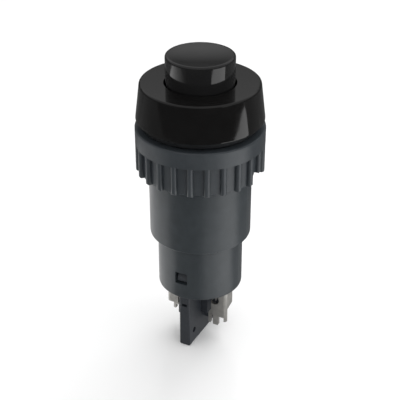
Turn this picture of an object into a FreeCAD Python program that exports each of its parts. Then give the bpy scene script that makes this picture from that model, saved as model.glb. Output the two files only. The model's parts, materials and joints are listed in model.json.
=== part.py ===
import FreeCAD, Part
import math
import os

# Round panel pushbutton: a momentary, double-break, single-circuit switch.
# Millimetres. +Z runs up the axis, out of the panel towards the cap.
# The origin is on the axis, in the plane where the bezel meets the panel.
# The barrier fin of the rear end lies along Y, and the two terminals lie
# either side of it, on +X and -X.

# Travel of the button, and the gap that its contacts have to close
travel = 2.2
contact_gap = 1.25
stop_gap = 0.1
landing_gap = 0.2

# Button cap
cap_diameter = 9.6
cap_stand = 3.89
cap_edge_radius = 0.3
cap_dish_depth = 0.2
cap_dish_rim = 0.45
cap_wall = 1.0
cap_roof = 1.25
cap_boss_wall = 0.8
cap_clearance = 0.15

# Bezel ring, a cone that covers the barrel's head
bezel_base_diameter = 17.96
bezel_top_diameter = 16.74
bezel_height = 5.13
bezel_land = 0.08
bezel_edge_radius = 0.3
bezel_face = 1.13
bezel_mouth_break = 0.12

# Barrel: head, flange, neck, threaded length, smooth tube and lower tube
head_diameter = 14.5
flange_diameter = 16.0
flange_thickness = 1.0
neck_diameter = 14.2
thread_pitch_diameter = 15.35
thread_pitch = 1.0
tube_diameter = 14.7
tube_depth = 18.15
tube_edge_radius = 0.2
lower_tube_diameter = 12.44
lower_tube_length = 8.76
tube_wall = 1.2
lower_tube_wall = 0.97
shoulder_thickness = 1.15
web_thickness = 1.4
web_above_seat = 1.0
seat_clearance = 0.05

# Snap bead that holds the bezel ring on the head
bead_height = 2.6
bead_radius = 0.25

# Panel gasket and ring nut
gasket_thickness = 1.2
gasket_diameter = 16.4
gasket_bore_diameter = 14.3
gasket_edge_radius = 0.3
nut_gap = 0.05
nut_wall = 1.41
nut_height = 6.68
nut_band = 2.45
nut_edge_radius = 0.2
nut_thread_clearance = 0.05
nut_turn = 3
rib_count = 24
rib_width = 0.9
rib_corner_radius = 0.42
pocket_share = 0.43
spanner_slot_width = 2.9
spanner_slot_height = 1.2

# Plunger
plunger_clearance = 0.1
neck_radius = 3.1
peg_radius = 2.2
peg_length = 3.2
peg_clearance = 0.02
peg_chamfer = 0.3
plunger_flange_clearance = 0.2
plunger_flange_thickness = 1.2
spring_boss_height = 1.0
spring_boss_clearance = 0.15
rib_radius = 3.0
plunger_rib_thickness = 1.1
plunger_core_radius = 1.7
stem_radius = 1.0
stem_clearance = 0.08
stem_engagement = 0.6
stem_run_out = 0.5

# Springs
return_wire = 0.45
return_turns = 5
contact_wire = 0.28
contact_turns = 6
contact_spring_length = 3.9
contact_spring_radius = 1.45
spring_end_gap = 0.05

# Contact bridge, its rivets and its clip
bridge_thickness = 0.4
bridge_width = 2.4
bridge_corner_share = 0.8
bridge_end_margin = 0.85
bridge_hole_clearance = 0.1
moving_contact_radius = 0.8
moving_contact_height = 0.5
shank_ratio = 0.5
rivet_rim_share = 0.35
shank_clearance = 0.01
clip_radius = 1.6
clip_thickness = 0.3
clip_gap = 0.05

# Terminals: a blade, folded into a channel at its outer edge
blade_thickness = 0.5
blade_inner_x = 1.52
blade_outer_x = 4.52
blade_bottom = 6.3
wing_depth = 2.6
lip_width = 1.9
wing_bottom = 4.8
wing_end_bottom = 4.3
wing_top_gap = 0.3
bend_radius = 0.55
bend_inner_radius = 0.1
neck_inset = 0.35
prong_spans = ((0.0, 0.4, 7.8), (0.78, 1.66, 7.95), (2.58, 3.0, 7.05))
prong_tip = 0.12
eye_offset = 0.95
eye_depth = 3.4
eye_radius = 0.82
tooth_width = 0.42
tooth_length = 0.95
tooth_offset_share = 0.36
tab_length = 1.95
fixed_contact_radius = 0.9
fixed_contact_height = 0.45
contact_spacing = 3.3

# Contact base: plug, arc chamber, latches, barrier fin, cross ribs and blade guides
base_clearance = 0.05
floor_thickness = 5.2
chamber_wall = 0.7
chamber_gap = 0.3
slot_clearance = 0.03
fin_length = 10.44
fin_thickness = 1.7
fin_depth = 9.35
fin_corner_radius = 0.15
fin_edge_chamfer = 0.12
rib_reach = 3.1
cross_rib_thickness = 1.0
cross_rib_depth = 6.85
rib_root_width = 0.65
guide_reach = 1.98
guide_front = 1.5
guide_depth = 5.2
fin_notch_width = 0.8
fin_notch_height = 0.45
fin_notch_depth = 0.5
fin_notch_drop = 1.8
dimple_radius = 0.45
dimple_depth = 0.3
dimple_offset = 3.7
dimple_drop = 7.2

# Snap windows in the lower tube, and the latch noses that fill them
window_width = 1.9
window_height = 1.9
window_rise = 3.4
latch_clearance = 0.2
latch_catch_gap = 0.3
latch_recess = 0.4
latch_slit = 0.35
latch_arm = 0.6
latch_root = 0.5

# Heights that follow from the sizes above
cap_top = bezel_height + cap_stand
web_top = web_above_seat
web_bottom = web_top - web_thickness
cap_bottom = web_top + landing_gap + travel
head_top = bezel_height - bezel_face
gasket_bottom = -gasket_thickness
nut_top = gasket_bottom - nut_gap
nut_bottom = nut_top - nut_height
thread_top = gasket_bottom - (thread_pitch_diameter - neck_diameter) / 2
thread_end = nut_bottom - thread_pitch / 2
tube_bottom = -tube_depth
shoulder_top = tube_bottom + shoulder_thickness
lower_bottom = tube_bottom - lower_tube_length
floor_top = lower_bottom + floor_thickness
window_middle = lower_bottom + window_rise

plunger_top = web_bottom - stop_gap
plunger_flange_bottom = plunger_top - plunger_flange_thickness

tab_top = floor_top + blade_thickness
fixed_contact_top = tab_top + fixed_contact_height
moving_contact_bottom = fixed_contact_top + contact_gap
bridge_bottom = moving_contact_bottom + moving_contact_height
bridge_top = bridge_bottom + bridge_thickness
stem_top = bridge_top + spring_end_gap + contact_spring_length + spring_end_gap
stem_bottom = floor_top - stem_engagement

# Radii that follow from the sizes above
cap_radius = cap_diameter / 2
bezel_bore_radius = cap_radius + cap_clearance
head_bore_radius = bezel_bore_radius + seat_clearance
tube_bore_radius = tube_diameter / 2 - tube_wall
lower_bore_radius = lower_tube_diameter / 2 - lower_tube_wall
base_radius = lower_bore_radius - base_clearance
chamber_radius = base_radius - chamber_wall
plunger_flange_radius = tube_bore_radius - plunger_flange_clearance
return_spring_radius = (lower_bore_radius + tube_bore_radius) / 2 - spring_end_gap
nut_bore_radius = thread_pitch_diameter / 2 + nut_thread_clearance
nut_radius = nut_bore_radius + nut_wall
pocket_depth = nut_wall * pocket_share
contact_y = tab_length / 2
contact_radius = math.hypot(contact_spacing, contact_y)
contact_angle = math.degrees(math.atan2(contact_y, contact_spacing))

# Extra length that lets a cutting tool pass clean through a face
cut_margin = 1.0

origin = FreeCAD.Vector(0, 0, 0)
axis_up = FreeCAD.Vector(0, 0, 1)
axis_y = FreeCAD.Vector(0, 1, 0)


def outline(corners):
    """Closed wire in the XZ plane; each corner is (x, z) or (x, z, rounding radius)."""
    points = [FreeCAD.Vector(corner[0], 0, corner[1]) for corner in corners]
    radii = [corner[2] if len(corner) > 2 else 0 for corner in corners]
    count = len(points)
    edges = []
    leaving = []
    for i in range(count):
        here = points[i]
        if radii[i] == 0:
            leaving.append((here, here, None))
            continue
        back = (points[i - 1] - here).normalize()
        forward = (points[(i + 1) % count] - here).normalize()
        half = back.getAngle(forward) / 2
        reach = radii[i] / math.tan(half)
        inward = (back + forward).normalize()
        middle = here + inward * (radii[i] / math.sin(half) - radii[i])
        leaving.append((here + back * reach, here + forward * reach, middle))
    for i in range(count):
        start, end, middle = leaving[i]
        if middle is not None:
            edges.append(Part.Arc(start, middle, end).toShape())
        following = leaving[(i + 1) % count][0]
        if end.distanceToPoint(following) > 1e-7:
            edges.append(Part.LineSegment(end, following).toShape())
    return Part.Wire(edges)


def turned(corners):
    """Solid of revolution about the axis from an outline of (radius, height) corners."""
    face = Part.Face(outline(corners))
    return face.revolve(origin, axis_up, 360)


def plate(corners, y_low, y_high):
    """Outline in the XZ plane given a thickness along Y."""
    face = Part.Face(outline(corners))
    face.translate(FreeCAD.Vector(0, y_low, 0))
    return face.extrude(FreeCAD.Vector(0, y_high - y_low, 0))


def prism(corners, z_low, z_high):
    """Outline in the XY plane raised from one height to another."""
    wire = outline(corners)
    wire.rotate(origin, FreeCAD.Vector(1, 0, 0), -90)
    face = Part.Face(wire)
    face.translate(FreeCAD.Vector(0, 0, z_low))
    return face.extrude(FreeCAD.Vector(0, 0, z_high - z_low))


def block(x_low, x_high, y_low, y_high, z_low, z_high):
    corner = FreeCAD.Vector(x_low, y_low, z_low)
    return Part.makeBox(x_high - x_low, y_high - y_low, z_high - z_low, corner)


def disc(radius, z_low, z_high, x=0, y=0):
    return Part.makeCylinder(radius, z_high - z_low, FreeCAD.Vector(x, y, z_low))


def opposite(shape):
    """The same shape half a turn round the axis."""
    copy = shape.copy()
    copy.rotate(origin, axis_up, 180)
    return copy


def turned_to(shape, degrees):
    copy = shape.copy()
    copy.rotate(origin, axis_up, degrees)
    return copy


def make_button_cap():
    """Moulded cap with a dished roof, a skirt and a socket for the plunger's peg."""
    rim = cap_radius - cap_dish_rim
    under_roof = cap_top - cap_roof
    body = turned([
        (0, cap_bottom),
        (cap_radius, cap_bottom, cap_edge_radius),
        (cap_radius, cap_top, cap_edge_radius),
        (0, cap_top),
    ])
    ball_radius = (rim ** 2 + cap_dish_depth ** 2) / (2 * cap_dish_depth)
    dish_centre = FreeCAD.Vector(0, 0, cap_top - cap_dish_depth + ball_radius)
    dish = Part.makeSphere(ball_radius, dish_centre)
    dish = dish.common(disc(cap_radius, cap_top - cap_roof / 2, cap_top + cut_margin))
    socket = peg_radius + peg_clearance
    hollow = disc(cap_radius - cap_wall, cap_bottom - cut_margin, under_roof)
    boss = disc(socket + cap_boss_wall, cap_bottom - cut_margin, under_roof)
    bore = disc(socket, cap_bottom - cut_margin, under_roof)
    return body.cut(dish).cut(hollow.cut(boss)).cut(bore)


def make_plunger():
    """Plunger: peg, guided neck, stop flange with a spring boss, ribbed shank and stem."""
    peg_top = cap_bottom + peg_length
    boss_radius = return_spring_radius - return_wire / 2 - spring_boss_clearance
    body = turned([
        (0, stem_top),
        (plunger_core_radius, stem_top),
        (plunger_core_radius, plunger_flange_bottom - spring_boss_height),
        (boss_radius, plunger_flange_bottom - spring_boss_height, tube_edge_radius),
        (boss_radius, plunger_flange_bottom),
        (plunger_flange_radius, plunger_flange_bottom),
        (plunger_flange_radius, plunger_top, tube_edge_radius),
        (neck_radius, plunger_top),
        (neck_radius, cap_bottom),
        (peg_radius, cap_bottom),
        (peg_radius, peg_top - peg_chamfer),
        (peg_radius - peg_chamfer, peg_top),
        (0, peg_top),
    ])
    half = plunger_rib_thickness / 2
    rib = block(-rib_radius, rib_radius, -half, half, stem_top, plunger_flange_bottom)
    stem = turned([
        (0, stem_bottom),
        (stem_radius - peg_chamfer, stem_bottom),
        (stem_radius, stem_bottom + peg_chamfer),
        (stem_radius, stem_top),
        (0, stem_top),
    ])
    body = body.fuse([rib, turned_to(rib, 90), stem])
    return body.removeSplitter()


def make_bezel_ring():
    """Cone-sided bezel with a flat face, open below for the barrel's head and flange."""
    base = bezel_base_diameter / 2
    flange_seat = flange_diameter / 2 + seat_clearance
    head_seat = head_diameter / 2 + seat_clearance
    groove = bead_radius + seat_clearance
    ring = turned([
        (flange_seat, 0),
        (base, 0),
        (base, bezel_land),
        (bezel_top_diameter / 2, bezel_height, bezel_edge_radius),
        (bezel_bore_radius, bezel_height, bezel_mouth_break),
        (bezel_bore_radius, head_top),
        (head_seat, head_top),
        (head_seat, flange_thickness + seat_clearance),
        (flange_seat, flange_thickness + seat_clearance),
    ])
    bead_centre = FreeCAD.Vector(0, 0, bead_height)
    return ring.cut(Part.makeTorus(head_seat - seat_clearance, groove, bead_centre, axis_up))


def make_barrel():
    """One moulding: head, flange, neck, threaded length, tube, step and lower tube."""
    pitch_radius = thread_pitch_diameter / 2
    neck = neck_diameter / 2
    tube = tube_diameter / 2
    lower = lower_tube_diameter / 2
    head = head_diameter / 2
    body = turned([
        (head_bore_radius, head_top),
        (head, head_top, tube_edge_radius),
        (head, flange_thickness),
        (flange_diameter / 2, flange_thickness),
        (flange_diameter / 2, 0),
        (neck, 0),
        (neck, gasket_bottom),
        (pitch_radius, thread_top),
        (pitch_radius, thread_end),
        (tube, thread_end - (pitch_radius - tube)),
        (tube, tube_bottom, tube_edge_radius),
        (lower, tube_bottom),
        (lower, lower_bottom, tube_edge_radius),
        (lower_bore_radius, lower_bottom),
        (lower_bore_radius, shoulder_top),
        (tube_bore_radius, shoulder_top),
        (tube_bore_radius, web_bottom),
        (neck_radius + plunger_clearance, web_bottom),
        (neck_radius + plunger_clearance, web_top),
        (head_bore_radius, web_top),
    ])
    bead_centre = FreeCAD.Vector(0, 0, bead_height)
    body = body.fuse(Part.makeTorus(head, bead_radius, bead_centre, axis_up))
    body = body.cut(disc(head_bore_radius, web_top, head_top))
    window = block(
        -window_width / 2, window_width / 2,
        -lower - cut_margin, cut_margin - lower_bore_radius,
        window_middle - window_height / 2, window_middle + window_height / 2)
    return body.cut([window, opposite(window)])


def make_panel_gasket():
    """Flat rubber ring in the neck, between the flange and the nut."""
    outer = gasket_diameter / 2
    inner = gasket_bore_diameter / 2
    return turned([
        (inner, gasket_bottom),
        (outer, gasket_bottom, gasket_edge_radius),
        (outer, 0, gasket_edge_radius),
        (inner, 0),
    ])


def make_nut_pocket(pocket_bottom, pocket_top):
    """Tool that cuts one pocket between two grip ribs and rounds the ribs' corners beside it."""
    pocket_width = 2 * math.pi * nut_radius / rib_count - rib_width
    half = pocket_width / nut_radius / 2
    floor_radius = nut_radius - pocket_depth
    floor_x = floor_radius * math.sin(half)
    corner_x = nut_radius * math.sin(half)
    corner_y = -nut_radius * math.cos(half)
    crown_x = corner_x + rib_width / 2 * math.cos(half)
    crown_y = corner_y + rib_width / 2 * math.sin(half)
    reach = -nut_radius - cut_margin
    return prism([
        (-floor_x, -floor_radius * math.cos(half)),
        (-corner_x, corner_y, rib_corner_radius),
        (-crown_x, crown_y),
        (-crown_x, reach),
        (crown_x, reach),
        (crown_x, crown_y),
        (corner_x, corner_y, rib_corner_radius),
        (floor_x, -floor_radius * math.cos(half)),
    ], pocket_bottom, pocket_top)


def make_ring_nut():
    """Ring nut: smooth band at the panel side, grip ribs below, two spanner slots."""
    body = turned([
        (nut_bore_radius, nut_bottom, nut_edge_radius),
        (nut_radius, nut_bottom, nut_edge_radius),
        (nut_radius, nut_top, nut_edge_radius),
        (nut_bore_radius, nut_top, nut_edge_radius),
    ])
    pocket = make_nut_pocket(nut_bottom - cut_margin, nut_top - nut_band)
    pitch_angle = 360 / rib_count
    pockets = [turned_to(pocket, (i + 0.5) * pitch_angle) for i in range(rib_count)]
    reach = nut_radius + cut_margin
    slot_half = spanner_slot_width / 2
    slot = block(
        -reach, reach, -slot_half, slot_half,
        nut_bottom - cut_margin, nut_bottom + spanner_slot_height)
    return turned_to(body.cut(pockets).cut(slot), nut_turn)


def make_spring(radius, wire, turns, z_low, z_high):
    """Open coil spring of round wire between two heights: one half turn, repeated up the axis."""
    pitch = (z_high - z_low - wire) / turns
    path = Part.makeHelix(pitch, pitch / 2, radius)
    path.translate(FreeCAD.Vector(0, 0, z_low + wire / 2))
    start = FreeCAD.Vector(radius, 0, z_low + wire / 2)
    along_wire = FreeCAD.Vector(0, 2 * math.pi * radius, pitch)
    section = Part.Wire(Part.makeCircle(wire / 2, start, along_wire))
    half_turn = Part.Wire(path).makePipeShell([section], False, True)

    def climbed(shape, half_turns):
        copy = turned_to(shape, 180 * half_turns)
        copy.translate(axis_up * (half_turns * pitch / 2))
        return copy

    end = Part.Face(section)
    faces = [end, climbed(end, 2 * turns)]
    for i in range(2 * turns):
        faces += climbed(half_turn, i).Faces
    shell = Part.Shell(faces)
    shell.sewShape()
    return Part.Solid(shell)


def make_return_spring():
    """Spring between the barrel's shoulder and the underside of the plunger's flange."""
    return make_spring(
        return_spring_radius, return_wire, return_turns,
        shoulder_top + spring_end_gap, plunger_flange_bottom - spring_end_gap)


def make_contact_spring():
    """Spring that holds the bridge down on its clip, and gives as the contacts meet."""
    return make_spring(
        contact_spring_radius, contact_wire, contact_turns,
        bridge_top + spring_end_gap, stem_top - spring_end_gap)


def make_contact_bridge():
    """Strip across both contacts, with a hole for the stem and one for each rivet."""
    half_length = contact_radius + bridge_end_margin
    half_width = bridge_width / 2
    corner = half_width * bridge_corner_share
    strip = prism([
        (-half_length, -half_width, corner),
        (half_length, -half_width, corner),
        (half_length, half_width, corner),
        (-half_length, half_width, corner),
    ], bridge_bottom, bridge_top)
    hole = disc(stem_radius + bridge_hole_clearance, bridge_bottom, bridge_top)
    shank = moving_contact_radius * shank_ratio + shank_clearance
    rivet_holes = [
        disc(shank, bridge_bottom, bridge_top, contact_radius),
        disc(shank, bridge_bottom, bridge_top, -contact_radius),
    ]
    strip = strip.cut([hole] + rivet_holes)
    return turned_to(strip, contact_angle)


def make_rivet(radius, head_base, head_top_height, shank_end):
    """Contact rivet: a round head with a soft rim, on a thinner shank."""
    shank = radius * shank_ratio
    rise = head_top_height - head_base
    rim = min(abs(rise), radius) * rivet_rim_share
    return turned([
        (0, head_top_height),
        (radius, head_top_height, rim),
        (radius, head_base),
        (shank, head_base),
        (shank, shank_end),
        (0, shank_end),
    ])


def make_moving_contact():
    """Silver rivet under the bridge, on the +X side."""
    rivet = make_rivet(moving_contact_radius, bridge_bottom, moving_contact_bottom, bridge_top)
    rivet.translate(FreeCAD.Vector(contact_spacing, contact_y, 0))
    return rivet


def make_fixed_contact():
    """Silver rivet on the terminal's tab, on the +X side."""
    rivet = make_rivet(fixed_contact_radius, tab_top, fixed_contact_top, floor_top)
    rivet.translate(FreeCAD.Vector(contact_spacing, contact_y, 0))
    return rivet


def make_bridge_clip():
    """Push-on clip that keeps the bridge on the stem."""
    clip_top = bridge_bottom - clip_gap
    clip = disc(clip_radius, clip_top - clip_thickness, clip_top)
    return clip.cut(disc(stem_radius, clip_top - clip_thickness, clip_top))


def make_eye():
    """Wire eye in the blade, with two grip teeth hanging from its upper edge."""
    eye_x = blade_inner_x + eye_offset
    eye_z = lower_bottom - eye_depth
    half = blade_thickness / 2 + cut_margin
    hole = Part.makeCylinder(
        eye_radius, 2 * half, FreeCAD.Vector(eye_x, -half, eye_z), axis_y)
    teeth = []
    for side in (-1, 1):
        tooth_x = eye_x + side * eye_radius * tooth_offset_share
        tooth_top = eye_z + eye_radius
        teeth.append(plate([
            (tooth_x - tooth_width / 2, tooth_top),
            (tooth_x + tooth_width / 2, tooth_top),
            (tooth_x, tooth_top - tooth_length),
        ], -half, half))
    return hole.cut(teeth)


def make_terminal():
    """Blade in the XZ plane: contact tab on top, neck, folded channel and three prongs."""
    half = blade_thickness / 2
    wing_y = wing_depth - half
    channel_top = lower_bottom - wing_top_gap
    deepest = lower_bottom - max(span[2] for span in prong_spans)
    channel = prism([
        (blade_inner_x, -half),
        (blade_outer_x, -half, bend_radius),
        (blade_outer_x, wing_y, bend_radius),
        (blade_outer_x - lip_width, wing_y),
        (blade_outer_x - lip_width, wing_y - blade_thickness),
        (blade_outer_x - blade_thickness, wing_y - blade_thickness, bend_inner_radius),
        (blade_outer_x - blade_thickness, half, bend_inner_radius),
        (blade_inner_x, half),
    ], deepest, channel_top)
    wing_cut = turned_to(plate([
        (half, lower_bottom - wing_bottom),
        (wing_y, lower_bottom - wing_end_bottom),
        (wing_depth + cut_margin, lower_bottom - wing_end_bottom),
        (wing_depth + cut_margin, deepest - cut_margin),
        (half, deepest - cut_margin),
    ], -blade_outer_x - cut_margin, -blade_inner_x), 90)
    below = block(
        blade_inner_x - cut_margin, blade_outer_x + cut_margin, -cut_margin, cut_margin,
        deepest - cut_margin, lower_bottom - blade_bottom)
    for start, end, depth in prong_spans:
        prong = plate([
            (blade_inner_x + start, lower_bottom - blade_bottom),
            (blade_inner_x + start, lower_bottom - depth, prong_tip),
            (blade_inner_x + end, lower_bottom - depth, prong_tip),
            (blade_inner_x + end, lower_bottom - blade_bottom),
        ], -cut_margin, cut_margin)
        below = below.cut(prong)
    channel = channel.cut([wing_cut, below, make_eye()])
    neck = block(
        blade_inner_x + neck_inset, blade_outer_x - neck_inset, -half, half,
        channel_top, tab_top)
    tab = block(
        blade_inner_x + neck_inset, blade_outer_x - neck_inset, -half, tab_length - half,
        floor_top, tab_top)
    shank = fixed_contact_radius * shank_ratio + shank_clearance
    terminal = channel.fuse([neck, tab]).removeSplitter()
    return terminal.cut(disc(shank, floor_top, tab_top, contact_spacing, contact_y))


def make_latch_nose():
    """Nose that springs into the snap window: a flat catch below, a sloped lead-in above."""
    low = window_middle - window_height / 2 + latch_catch_gap
    high = window_middle + window_height / 2 - latch_clearance
    half_width = window_width / 2 - latch_clearance
    tip = lower_tube_diameter / 2 - latch_recess
    root = base_radius - latch_arm / 2
    nose = plate([
        (root, low),
        (tip, low),
        (tip, window_middle),
        (base_radius, high),
        (root, high),
    ], -half_width, half_width)
    return turned_to(nose, -90)


def make_latch_gaps():
    """Slits beside and above the latch arm, and the space behind it that it springs into."""
    half = window_width / 2
    low = lower_bottom + latch_root
    arm_top = window_middle + window_height / 2 + latch_slit
    high = arm_top + latch_slit
    front = -base_radius - cut_margin
    behind = -base_radius + latch_arm
    back = behind + latch_slit
    return [
        block(-half - latch_slit, -half, front, back, low, high),
        block(half, half + latch_slit, front, back, low, high),
        block(-half, half, behind, back, low, high),
        block(-half, half, front, behind, arm_top, high),
    ]


def make_fin():
    """Barrier fin between the terminals, with a notch in each end and a dimple each side."""
    half_length = fin_length / 2
    half = fin_thickness / 2
    bottom = lower_bottom - fin_depth
    face = plate([
        (-half_length, lower_bottom),
        (-half_length, bottom, fin_corner_radius),
        (half_length, bottom, fin_corner_radius),
        (half_length, lower_bottom),
    ], -half, half)
    fin = turned_to(face, 90)
    fin = fin.makeChamfer(fin_edge_chamfer, [
        edge for edge in fin.Edges
        if edge.Length > fin_depth / 2 and abs(edge.CenterOfMass.z - lower_bottom) > cut_margin])
    notch_half = fin_notch_width / 2
    notch_top = lower_bottom - fin_notch_drop
    notch = block(
        -notch_half, notch_half, -half_length - cut_margin, -half_length + fin_notch_depth,
        notch_top - fin_notch_height, notch_top)
    dimple = Part.makeCylinder(
        dimple_radius, dimple_depth + cut_margin,
        FreeCAD.Vector(half - dimple_depth, -dimple_offset, lower_bottom - dimple_drop),
        FreeCAD.Vector(1, 0, 0))
    return fin.cut([notch, opposite(notch), dimple, opposite(dimple)])


def make_cross_rib():
    """Rib that stands out of the fin behind the +X blade, with a shorter guide before it."""
    blade_half = blade_thickness / 2
    bottom = lower_bottom - cross_rib_depth
    back = block(0, rib_reach, blade_half, blade_half + cross_rib_thickness, bottom, lower_bottom)
    root_end = fin_thickness / 2 + rib_root_width
    root = block(0, root_end, -blade_half, blade_half, bottom, lower_bottom)
    guide = block(
        0, guide_reach, -guide_front, -blade_half - slot_clearance,
        lower_bottom - guide_depth, lower_bottom)
    joint = block(
        0, root_end, -guide_front, blade_half, lower_bottom - guide_depth, lower_bottom)
    return back.fuse([root, guide, joint])


def make_contact_base():
    """Base moulding: plug and floor, arc chamber wall, latches, barrier fin, cross ribs."""
    chamber_top = shoulder_top - chamber_gap
    plug = turned([
        (0, lower_bottom),
        (base_radius, lower_bottom),
        (base_radius, chamber_top),
        (chamber_radius, chamber_top),
        (chamber_radius, floor_top),
        (0, floor_top),
    ])
    rib = make_cross_rib()
    nose = make_latch_nose()
    body = plug.fuse([make_fin(), rib, opposite(rib), nose, opposite(nose)])
    guide = disc(
        stem_radius + stem_clearance,
        stem_bottom - travel - stem_run_out, floor_top + cut_margin)
    slot = block(
        blade_inner_x + neck_inset - slot_clearance,
        blade_outer_x - neck_inset + slot_clearance,
        -blade_thickness / 2 - slot_clearance,
        blade_thickness / 2 + slot_clearance,
        lower_bottom, floor_top)
    gaps = make_latch_gaps()
    gaps += [opposite(gap) for gap in gaps]
    return body.cut([guide, slot, opposite(slot)] + gaps).removeSplitter()


moving_contact = make_moving_contact()
fixed_contact = make_fixed_contact()
terminal = make_terminal()

pieces = {
    "button_cap": make_button_cap(),
    "plunger": make_plunger(),
    "bezel_ring": make_bezel_ring(),
    "barrel": make_barrel(),
    "panel_gasket": make_panel_gasket(),
    "ring_nut": make_ring_nut(),
    "return_spring": make_return_spring(),
    "contact_spring": make_contact_spring(),
    "contact_bridge": make_contact_bridge(),
    "bridge_clip": make_bridge_clip(),
    "moving_contact_right": moving_contact,
    "moving_contact_left": opposite(moving_contact),
    "fixed_contact_right": fixed_contact,
    "fixed_contact_left": opposite(fixed_contact),
    "terminal_right": terminal,
    "terminal_left": opposite(terminal),
    "contact_base": make_contact_base(),
}

os.makedirs("parts", exist_ok=True)
for name, shape in pieces.items():
    shape.exportStep("parts/" + name + ".step")
    print(name, len(shape.Solids), shape.isValid(), round(shape.Volume, 3))
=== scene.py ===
import bmesh
import bpy
import json
import math
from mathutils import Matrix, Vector


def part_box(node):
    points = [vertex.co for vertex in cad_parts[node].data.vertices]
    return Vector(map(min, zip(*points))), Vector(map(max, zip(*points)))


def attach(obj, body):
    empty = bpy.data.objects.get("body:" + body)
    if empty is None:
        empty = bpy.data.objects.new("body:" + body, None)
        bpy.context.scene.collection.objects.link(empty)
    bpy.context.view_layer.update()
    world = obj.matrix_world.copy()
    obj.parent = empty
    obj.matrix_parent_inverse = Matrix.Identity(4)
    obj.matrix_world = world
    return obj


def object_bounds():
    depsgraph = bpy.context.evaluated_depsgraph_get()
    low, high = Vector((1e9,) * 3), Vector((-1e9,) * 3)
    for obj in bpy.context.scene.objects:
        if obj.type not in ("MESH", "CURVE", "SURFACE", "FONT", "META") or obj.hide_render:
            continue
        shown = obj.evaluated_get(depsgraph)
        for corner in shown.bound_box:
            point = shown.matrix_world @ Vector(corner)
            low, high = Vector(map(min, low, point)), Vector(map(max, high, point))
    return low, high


# Looks of the panel pushbutton switch: a material for every piece, the two screw
# threads, and a plain white studio with the camera at the photograph's angle.
# Metres. +Z runs up the switch's axis, out of the panel.

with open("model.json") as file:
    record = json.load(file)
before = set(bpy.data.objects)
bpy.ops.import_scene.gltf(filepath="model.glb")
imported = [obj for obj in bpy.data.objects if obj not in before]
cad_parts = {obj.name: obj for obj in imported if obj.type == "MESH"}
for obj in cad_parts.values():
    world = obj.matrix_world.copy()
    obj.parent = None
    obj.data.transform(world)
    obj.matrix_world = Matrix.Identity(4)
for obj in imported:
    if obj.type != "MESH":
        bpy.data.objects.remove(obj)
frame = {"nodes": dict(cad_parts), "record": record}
cad_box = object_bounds()
mm = 0.001
white = (1, 1, 1, 1)
black = (0, 0, 0, 1)

# Camera, fitted to the outline of the switch in the photograph
camera_azimuth = math.radians(27)
camera_elevation = math.radians(30.15)
camera_distance = 145 * mm
camera_aim = Vector((0, 0, -13.49 * mm))
camera_lens = 90
camera_sensor = 36
camera_shift = -0.0008
camera_clip_start = 5 * mm

# Thread of the barrel and the ring nut, M16 x 1
thread_pitch = 1.0 * mm
barrel_pitch_radius = 7.675 * mm
nut_pitch_radius = 7.725 * mm
thread_sink = 0.06 * mm
thread_crest = 0.26 * mm
thread_root_width = 0.56 * mm
thread_crest_width = 0.2 * mm
thread_end_gap = 0.75 * mm
thread_steps = 72
thread_lead_in = 40

# Where a noise has most of its values
noise_middle = (0.3, 0.7)

# Plastics: polished, and satin with a spark-eroded grain
plastic_ior = 1.5
haze_size = 2.2 * mm
rub_size = 0.5 * mm
rub_stretch = (1, 6, 1)
peel_size = 0.9 * mm
peel_depth = 0.0006 * mm
gloss_roughness = (0.045, 0.08)
mottle_size = 1.6 * mm
flow_size = 3.0 * mm
flow_stretch = (1, 1, 3)
satin_roughness_change = (-0.04, 0.05)

# Rubber
dust_size = 0.7 * mm
rubber_grain_size = 0.12 * mm
rubber_grain_depth = 0.006 * mm
rubber_roughness = (0.62, 0.8)

# Metals
tarnish_size = 0.9 * mm
streak_size = 0.25 * mm
streak_depth = 0.002 * mm
metal_roughness_change = (-0.06, 0.08)

# Natural acetal
acetal_scatter = 0.25
acetal_scatter_colour = (1, 0.9, 0.8)
acetal_scatter_depth = 0.6 * mm
acetal_cloud_size = 1.5 * mm
acetal_grain_size = 0.2 * mm
acetal_grain_depth = 0.002 * mm
acetal_roughness = (0.3, 0.4)

# Floor and the white round it
floor_z = cad_box[0].z
floor_radius = 0.6
floor_clear = 0.1
floor_segments = 96
floor_colour = (0.88, 0.88, 0.88, 1)
floor_glow = 0.14
floor_ior = 1.62
floor_roughness = 0.14
contact_reach = 4 * mm
ambient = 0.82

# Softboxes: name, azimuth and elevation in degrees, width and height in metres, radiance
softboxes = [
    ("softbox_back", 187, 46, 0.6, 0.6, 3.1),
    ("softbox_side", 150, 42, 0.6, 0.6, 1.0),
    ("softbox_right", 107, 38, 0.5, 0.5, 1.3),
    ("softbox_low", 76, 9, 0.5, 0.24, 2.8),
]
softbox_distance = 1.0

# Dark surround that only the gloss of the switch shows
card_step = 0.3 * mm
card_segments = 96
table_light = 0.17
near_table_light = 0.33
near_table_radius = 48 * mm
wall_radius = 0.6
wall_top = 0.5
wall_low_light = 0.09
wall_light = 0.54
wall_fade = (0.19, 0.33)
ceiling_light = 0.45

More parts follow.
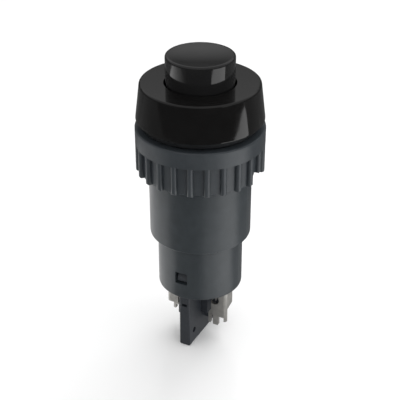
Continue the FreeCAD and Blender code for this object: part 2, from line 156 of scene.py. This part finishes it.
# Cards on the table of that surround, in millimetres as the camera sees the floor: each corner
# is (towards the right, away from the camera) from the axis
front_card = [
    (-200, -22), (-158, -32), (-146, -54), (-132, -68), (-118, -100), (-60, -60), (60, -60),
    (118, -100), (152, -60), (158, -21), (260, -21), (260, -400), (-260, -400), (-260, -60),
]
front_light = 0.09
back_card = [(-260, 66), (260, 66), (260, 400), (-260, 400)]
back_light = 0.13
right_card = [
    (10, -14), (61, -88), (126, -76), (138, -64), (149, -47), (159, -20), (148, -9), (130, -5),
    (104, -10), (38, -4), (17, -2),
]
right_light = 1.85
left_card = [
    (-80, -66), (-92, -59), (-104, -46), (-113, -18), (-114, 0), (-112, 18), (-105, 32),
    (-98, 41), (-88, 48), (-94, 20), (-96, -15), (-93, -30), (-88, -43), (-80, -56),
]
left_dim_light = 0.25
left_light = 1.7
left_fade = (-64, 18)
near_left_card = [
    (-5, -1), (-62, -26), (-68, -12), (-69, 6), (-62, 26), (-45, 50), (-10, 45), (-4, 8),
]
near_left_light = 1.3
near_right_card = [(2, -8), (8, -66), (37, -55), (10, -14)]
near_right_light = 1.2


def new_material(name):
    """A material with its node tree and its shader."""
    material = bpy.data.materials.new(name)
    material.use_nodes = True
    tree = material.node_tree
    return material, tree, tree.nodes["Principled BSDF"]


def add_noise(tree, size, detail, stretch=(1, 1, 1)):
    """Noise fixed to the piece, with spots of about the given size."""
    coordinates = tree.nodes.new("ShaderNodeTexCoord")
    mapping = tree.nodes.new("ShaderNodeMapping")
    mapping.inputs["Scale"].default_value = [1 / (size * side) for side in stretch]
    tree.links.new(coordinates.outputs["Object"], mapping.inputs["Vector"])
    texture = tree.nodes.new("ShaderNodeTexNoise")
    texture.inputs["Scale"].default_value = 1
    texture.inputs["Detail"].default_value = detail
    tree.links.new(mapping.outputs["Vector"], texture.inputs["Vector"])
    return texture.outputs["Fac"]


def remap(tree, value, source, target, interpolation="LINEAR"):
    """A value stretched from one (low, high) range to another, and held at its ends."""
    node = tree.nodes.new("ShaderNodeMapRange")
    node.interpolation_type = interpolation
    node.inputs["From Min"].default_value = source[0]
    node.inputs["From Max"].default_value = source[1]
    node.inputs["To Min"].default_value = target[0]
    node.inputs["To Max"].default_value = target[1]
    tree.links.new(value, node.inputs["Value"])
    return node.outputs["Result"]


def combine(tree, operation, first, second):
    """Sum or product of two values, held between 0 and 1."""
    node = tree.nodes.new("ShaderNodeMath")
    node.operation = operation
    node.use_clamp = True
    tree.links.new(first, node.inputs[0])
    tree.links.new(second, node.inputs[1])
    return node.outputs["Value"]


def set_colour(tree, shader, noise, first, second):
    """Mixes two colours by a noise, for the shader's base colour."""
    mix = tree.nodes.new("ShaderNodeMix")
    mix.data_type = "RGBA"
    mix.inputs["A"].default_value = (*first, 1)
    mix.inputs["B"].default_value = (*second, 1)
    tree.links.new(remap(tree, noise, noise_middle, (0, 1)), mix.inputs["Factor"])
    tree.links.new(mix.outputs["Result"], shader.inputs["Base Color"])


def set_roughness(tree, shader, noise, low_high, roughness=0):
    """Varies the shader's roughness by a noise, over a range counted from the given one."""
    target = [roughness + change for change in low_high]
    tree.links.new(remap(tree, noise, noise_middle, target), shader.inputs["Roughness"])


def set_bump(tree, shader, height, depth):
    """Bump of the given depth on the shader's normal."""
    bump = tree.nodes.new("ShaderNodeBump")
    bump.inputs["Distance"].default_value = depth
    tree.links.new(height, bump.inputs["Height"])
    tree.links.new(bump.outputs["Normal"], shader.inputs["Normal"])


def gloss_plastic(name, colour, worn_colour):
    """Polished moulding: faint orange peel, and a haze of fine rub marks in the gloss."""
    material, tree, shader = new_material(name)
    shader.inputs["IOR"].default_value = plastic_ior
    set_colour(tree, shader, add_noise(tree, haze_size, 5), colour, worn_colour)
    set_roughness(tree, shader, add_noise(tree, rub_size, 4, rub_stretch), gloss_roughness)
    set_bump(tree, shader, add_noise(tree, peel_size, 1), peel_depth)
    return material


def satin_plastic(name, colour, pale_colour, grain_size, grain_depth, roughness):
    """Spark-eroded moulding: an even fine grain over slow mottling."""
    material, tree, shader = new_material(name)
    shader.inputs["IOR"].default_value = plastic_ior
    flow = add_noise(tree, flow_size, 3, flow_stretch)
    set_colour(tree, shader, add_noise(tree, mottle_size, 4), colour, pale_colour)
    set_roughness(tree, shader, flow, satin_roughness_change, roughness)
    set_bump(tree, shader, add_noise(tree, grain_size, 2), grain_depth)
    return material


def rubber(name, colour, dusty_colour):
    """Moulded rubber: dull, slightly uneven, with a trace of dust."""
    material, tree, shader = new_material(name)
    dust = add_noise(tree, dust_size, 5)
    set_colour(tree, shader, dust, colour, dusty_colour)
    set_roughness(tree, shader, dust, rubber_roughness)
    set_bump(tree, shader, add_noise(tree, rubber_grain_size, 3), rubber_grain_depth)
    return material


def metal(name, colour, dull_colour, roughness, streak_stretch, metallic):
    """Metal with rolling or drawing streaks and slightly uneven tarnish."""
    material, tree, shader = new_material(name)
    shader.inputs["Metallic"].default_value = metallic
    streaks = add_noise(tree, streak_size, 3, streak_stretch)
    set_colour(tree, shader, add_noise(tree, tarnish_size, 5), colour, dull_colour)
    set_roughness(tree, shader, streaks, metal_roughness_change, roughness)
    set_bump(tree, shader, streaks, streak_depth)
    return material


def acetal(name, colour, pale_colour):
    """Natural acetal moulding: milky, and a little see-through at its edges."""
    material, tree, shader = new_material(name)
    shader.inputs["Subsurface Weight"].default_value = acetal_scatter
    shader.inputs["Subsurface Radius"].default_value = acetal_scatter_colour
    shader.inputs["Subsurface Scale"].default_value = acetal_scatter_depth
    cloud = add_noise(tree, acetal_cloud_size, 3)
    set_colour(tree, shader, cloud, colour, pale_colour)
    set_roughness(tree, shader, cloud, acetal_roughness)
    set_bump(tree, shader, add_noise(tree, acetal_grain_size, 2), acetal_grain_depth)
    return material


def make_materials():
    """One material for each slot of the record."""
    finishes = [
        # Colour, colour where it is worn or dusty
        (gloss_plastic, "cap_plastic", (0.009, 0.009, 0.0093), (0.0118, 0.0118, 0.0121)),
        (gloss_plastic, "bezel_plastic", (0.0034, 0.0032, 0.0032), (0.0052, 0.005, 0.0049)),
        (rubber, "gasket_rubber", (0.006, 0.008, 0.01), (0.012, 0.014, 0.016)),
        (acetal, "plunger_plastic", (0.7, 0.68, 0.62), (0.76, 0.74, 0.69)),
        # Colour, paler colour, size and depth of the grain, roughness
        (satin_plastic, "barrel_plastic", (0.025, 0.032, 0.037), (0.032, 0.04, 0.046),
         0.09 * mm, 0.004 * mm, 0.36),
        (satin_plastic, "nut_plastic", (0.033, 0.0395, 0.046), (0.0405, 0.048, 0.0545),
         0.11 * mm, 0.005 * mm, 0.36),
        (satin_plastic, "base_plastic", (0.024, 0.028, 0.035), (0.03, 0.035, 0.042),
         0.1 * mm, 0.004 * mm, 0.4),
        # Colour, duller colour, roughness, how the streaks are stretched, metallic
        (metal, "spring_steel", (0.55, 0.55, 0.54), (0.42, 0.41, 0.4), 0.28, (1, 1, 0.4), 1),
        (metal, "bridge_brass", (0.72, 0.52, 0.24), (0.58, 0.4, 0.17), 0.3, (12, 1, 1), 1),
        (metal, "contact_silver", (0.82, 0.81, 0.77), (0.66, 0.64, 0.58), 0.3, (1, 1, 1), 1),
        (metal, "terminal_tinned_brass", (0.5, 0.49, 0.465), (0.4, 0.39, 0.37),
         0.48, (1, 1, 14), 0.7),
    ]
    return {slot: make(slot, *values) for make, slot, *values in finishes}


def dress_nodes(materials):
    """Gives every piece of the construction the material of its slot."""
    for part in frame["record"]["subparts"]:
        piece = frame["nodes"][part["node"]]
        for i in range(len(piece.data.materials)):
            piece.data.materials[i] = materials[part["material_slot"]]


def new_object(name, data):
    """An object in the scene."""
    thing = bpy.data.objects.new(name, data)
    bpy.context.scene.collection.objects.link(thing)
    return thing


def finished_mesh(name, mesh):
    """The mesh that was built, as data for an object."""
    data = bpy.data.meshes.new(name)
    mesh.to_mesh(data)
    mesh.free()
    return data


def thread_section(pitch_radius, outward, full):
    """Corners (radius, height) of a thread's ridge; full is 1, or less where it tapers away."""
    root = pitch_radius - outward * thread_sink
    crest = pitch_radius + outward * (thread_crest * full - thread_sink / 2 * (1 - full))
    root_half = thread_root_width / 2
    crest_half = thread_crest_width / 2
    return [(root, -root_half), (root, root_half), (crest, crest_half), (crest, -crest_half)]


def make_thread(name, pitch_radius, outward, z_low, z_high, phase):
    """Helical ridge on a cylinder, tapering away at both ends."""
    count = round((z_high - z_low) / thread_pitch * thread_steps)
    mesh = bmesh.new()
    rings = []
    for i in range(count + 1):
        angle = 2 * math.pi * i / thread_steps + phase
        middle = z_low + thread_pitch * i / thread_steps
        full = min(1, i / thread_lead_in, (count - i) / thread_lead_in)
        rings.append([
            mesh.verts.new((r * math.cos(angle), r * math.sin(angle), middle + dz))
            for r, dz in thread_section(pitch_radius, outward, full)
        ])
    for here, following in zip(rings, rings[1:]):
        for k in range(4):
            mesh.faces.new((here[k], here[(k + 1) % 4], following[(k + 1) % 4], following[k]))
    mesh.faces.new(rings[0])
    mesh.faces.new(rings[-1])
    bmesh.ops.recalc_face_normals(mesh, faces=mesh.faces[:])
    return new_object(name, finished_mesh(name, mesh))


def make_threads(materials):
    """Male thread on the barrel, and the nut's thread half a pitch away in its grooves."""
    nut_low, nut_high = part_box("ring_nut")
    low = nut_low.z + thread_end_gap / 2
    high = nut_high.z - thread_end_gap
    male = make_thread("barrel_thread", barrel_pitch_radius, 1, low, high, 0)
    male.data.materials.append(materials["barrel_plastic"])
    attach(male, "housing")
    # It starts an end gap higher, and this turn makes that half a pitch in all
    phase = 2 * math.pi * (thread_end_gap / thread_pitch - 0.5)
    female = make_thread("nut_thread", nut_pitch_radius, -1, low + thread_end_gap, high, phase)
    female.data.materials.append(materials["nut_plastic"])
    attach(female, "nut")


def direction(azimuth, elevation):
    """Unit vector towards a light or camera; azimuth 0 is in front, on -Y."""
    level = math.cos(elevation)
    return Vector((math.sin(azimuth) * level, -math.cos(azimuth) * level, math.sin(elevation)))


def camera_direction(rightward, away):
    """Level direction as the camera sees it."""
    right = direction(camera_azimuth + math.pi / 2, 0)
    back = direction(camera_azimuth + math.pi, 0)
    return right * rightward + back * away


def aim_from(thing, azimuth, elevation, distance):
    """Places a lamp or camera so that it looks at the middle of the switch."""
    towards = direction(azimuth, elevation)
    thing.location = camera_aim + towards * distance
    thing.rotation_euler = (-towards).to_track_quat("-Z", "Y").to_euler()


def make_camera():
    """Camera at the photograph's angle."""
    data = bpy.data.cameras.new("camera")
    data.lens = camera_lens
    data.sensor_width = camera_sensor
    data.shift_x = camera_shift
    data.clip_start = camera_clip_start
    camera = new_object("camera", data)
    aim_from(camera, camera_azimuth, camera_elevation, camera_distance)
    bpy.context.scene.camera = camera


def make_softbox(name, azimuth, elevation, width, height, radiance):
    """Rectangular lamp that only matt surfaces show."""
    lamp = bpy.data.lights.new(name, "AREA")
    lamp.shape = "RECTANGLE"
    lamp.size = width
    lamp.size_y = height
    lamp.energy = radiance * math.pi * width * height
    box = new_object(name, lamp)
    aim_from(box, math.radians(azimuth), math.radians(elevation), softbox_distance)
    box.visible_camera = False
    box.visible_glossy = False


def seen_directly(tree):
    """1 for camera, glossy and transmission rays, which see the white background."""
    path = tree.nodes.new("ShaderNodeLightPath")
    total = path.outputs["Is Camera Ray"]
    for name in ("Is Glossy Ray", "Is Transmission Ray"):
        total = combine(tree, "ADD", total, path.outputs[name])
    return total


def make_world():
    """White where it is seen, and a softer white as light."""
    world = bpy.data.worlds.new("world")
    world.use_nodes = True
    tree = world.node_tree
    strength = remap(tree, seen_directly(tree), (0, 1), (ambient, 1))
    background = tree.nodes["Background"]
    background.inputs["Color"].default_value = white
    tree.links.new(strength, background.inputs["Strength"])
    bpy.context.scene.world = world


def floor_material():
    """Glossy white sheet that fades out far away, and glows a little where it is seen."""
    material, tree, shader = new_material("floor_white")
    shader.inputs["Base Color"].default_value = floor_colour
    shader.inputs["Roughness"].default_value = floor_roughness
    shader.inputs["IOR"].default_value = floor_ior
    shader.inputs["Emission Color"].default_value = white
    # The glow goes down towards what stands on the floor, as a contact shadow
    contact = tree.nodes.new("ShaderNodeAmbientOcclusion")
    contact.inputs["Distance"].default_value = contact_reach
    lit = combine(tree, "MULTIPLY", seen_directly(tree), contact.outputs["AO"])
    tree.links.new(remap(tree, lit, (0, 1), (0, floor_glow)), shader.inputs["Emission Strength"])
    coordinates = tree.nodes.new("ShaderNodeTexCoord")
    length = tree.nodes.new("ShaderNodeVectorMath")
    length.operation = "LENGTH"
    tree.links.new(coordinates.outputs["Object"], length.inputs[0])
    fade = remap(
        tree, length.outputs["Value"], (floor_clear, floor_radius), (1, 0), "SMOOTHSTEP")
    tree.links.new(fade, shader.inputs["Alpha"])
    return material


def make_floor():
    """Round floor under the switch, which the gloss of the switch doesn't show."""
    mesh = bmesh.new()
    bmesh.ops.create_circle(mesh, cap_ends=True, radius=floor_radius, segments=floor_segments)
    floor = new_object("floor", finished_mesh("floor", mesh))
    floor.data.materials.append(floor_material())
    floor.location = (0, 0, floor_z)
    floor.visible_glossy = False


def ring_mesh(name, inner, outer):
    """Ring swept round the axis between two (radius, height) points."""
    mesh = bmesh.new()
    rings = []
    for i in range(card_segments):
        out = direction(2 * math.pi * i / card_segments, 0)
        rings.append([mesh.verts.new(out * r + Vector((0, 0, z))) for r, z in (inner, outer)])
    for here, following in zip(rings, rings[1:] + rings[:1]):
        mesh.faces.new((here[0], here[1], following[1], following[0]))
    return finished_mesh(name, mesh)


def flat_mesh(name, corners, height):
    """Flat card with its corners given as the camera sees the floor."""
    points = [camera_direction(u, w) * mm + Vector((0, 0, height)) for u, w in corners]
    data = bpy.data.meshes.new(name)
    data.from_pydata(points, [], [range(len(points))])
    return data


def make_card(data, light, far_light=None, along=None, span=None):
    """Studio card seen only in reflections; over a span its light may change to another."""
    material, tree, shader = new_material(data.name)
    shader.inputs["Base Color"].default_value = black
    shader.inputs["Specular IOR Level"].default_value = 0
    shader.inputs["Emission Color"].default_value = white
    shader.inputs["Emission Strength"].default_value = light
    if along is not None:
        coordinates = tree.nodes.new("ShaderNodeTexCoord")
        place = tree.nodes.new("ShaderNodeVectorMath")
        place.operation = "DOT_PRODUCT"
        place.inputs[1].default_value = along
        tree.links.new(coordinates.outputs["Object"], place.inputs[0])
        change = remap(tree, place.outputs["Value"], span, (light, far_light))
        tree.links.new(change, shader.inputs["Emission Strength"])
    material.cycles.emission_sampling = "NONE"
    data.materials.append(material)
    card = new_object(data.name, data)
    card.visible_camera = False
    card.visible_diffuse = False
    card.visible_shadow = False


def make_surround():
    """Dark room just under the floor's level, with cards of other light on its table."""
    cards = floor_z - card_step
    shades = cards - card_step
    near_table = shades - card_step
    table = near_table - card_step
    make_card(ring_mesh("card_table", (0, table), (wall_radius, table)), table_light)
    make_card(
        ring_mesh("card_near_table", (0, near_table), (near_table_radius, near_table)),
        near_table_light)
    make_card(
        ring_mesh("card_wall", (wall_radius, table), (wall_radius, wall_top)),
        wall_low_light, wall_light, (0, 0, 1), wall_fade)
    make_card(ring_mesh("card_ceiling", (0, wall_top), (wall_radius, wall_top)), ceiling_light)
    make_card(flat_mesh("card_front", front_card, shades), front_light)
    make_card(flat_mesh("card_back", back_card, shades), back_light)
    make_card(flat_mesh("card_right", right_card, cards), right_light)
    make_card(flat_mesh("card_near_left", near_left_card, shades), near_left_light)
    make_card(flat_mesh("card_near_right", near_right_card, shades), near_right_light)
    make_card(
        flat_mesh("card_left", left_card, cards), left_dim_light, left_light,
        camera_direction(0, 1), [away * mm for away in left_fade])


materials = make_materials()
dress_nodes(materials)
make_threads(materials)
make_camera()
make_world()
make_floor()
for softbox in softboxes:
    make_softbox(*softbox)
make_surround()
bpy.context.scene.view_settings.view_transform = "Standard"
